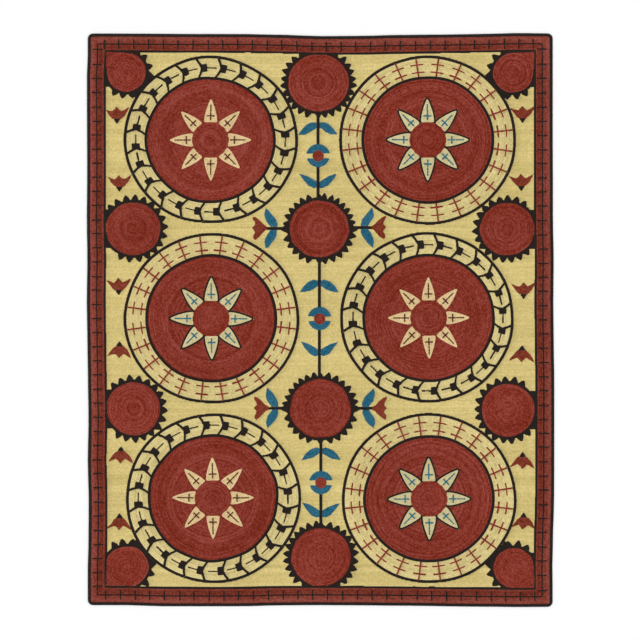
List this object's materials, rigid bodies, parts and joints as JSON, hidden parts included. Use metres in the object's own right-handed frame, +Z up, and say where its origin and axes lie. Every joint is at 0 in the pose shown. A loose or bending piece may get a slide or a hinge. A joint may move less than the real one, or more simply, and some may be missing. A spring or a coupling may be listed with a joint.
{
  "type": "suzani rug",
  "caption": "Large oblong wool rug worked all over in chain stitch, with round red sun medallions on a straw ground, a red comb border and a black bound edge, lying flat.",
  "frame": {"origin": "on the floor, under the middle of the rug", "axes": "+X across the rug to the right, +Y along the rug to its top edge, +Z up, out of the stitched face"},
  "size_m": [2.452, 3.0106, 0.0065],
  "materials": {
    "stitched_wool": "matt wool chain stitch on cotton canvas",
    "black_wool": "matt wool, overcast"
  },
  "bodies": {
    "root": {"stitched_cloth": "stitched_wool", "edge_binding": "black_wool"}
  },
  "joints": []
}
